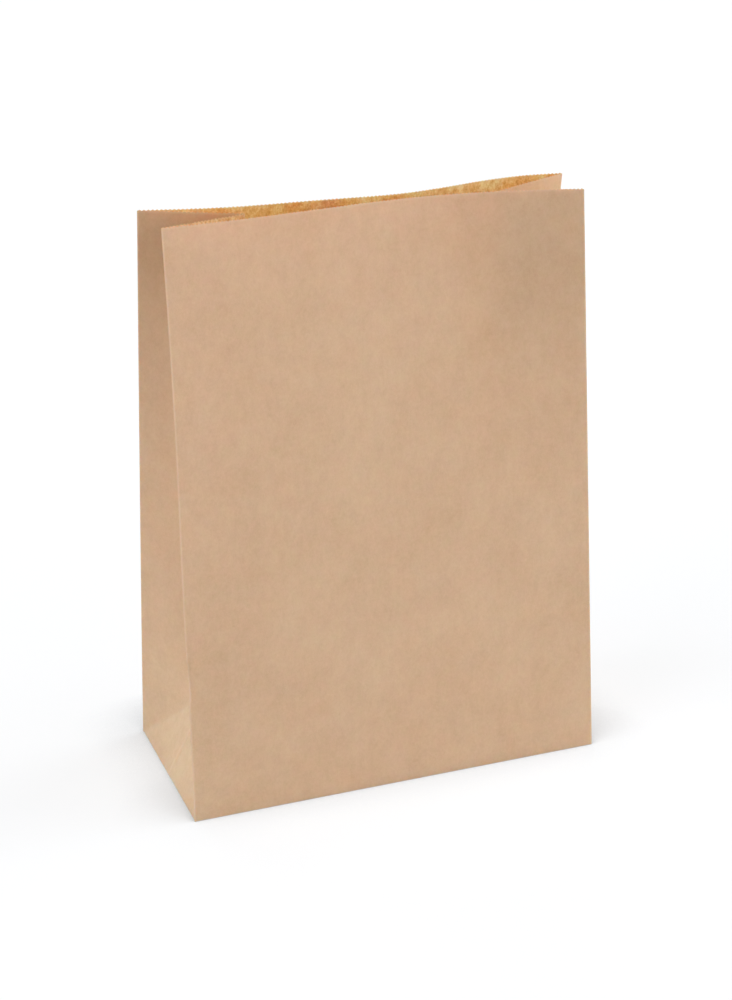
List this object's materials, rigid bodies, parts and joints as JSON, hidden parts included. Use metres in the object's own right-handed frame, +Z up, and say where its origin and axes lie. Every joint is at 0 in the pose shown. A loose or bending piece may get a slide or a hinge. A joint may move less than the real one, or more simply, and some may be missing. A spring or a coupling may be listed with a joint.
{
  "type": "paper bag",
  "caption": "Plain brown kraft paper bag with a flat block bottom, side gussets folded in at the mouth and a pinked top edge, standing open.",
  "frame": {"origin": "middle of the base, on the surface that the bag stands on", "axes": "+Z up towards the mouth, X across the wide panels, +Y from the front panel to the back panel with the pasted seam"},
  "size_m": [0.3204, 0.1406, 0.4279],
  "materials": {
    "kraft_paper": "matte uncoated brown kraft"
  },
  "bodies": {
    "root": {"paper_bag": "kraft_paper"}
  },
  "joints": []
}
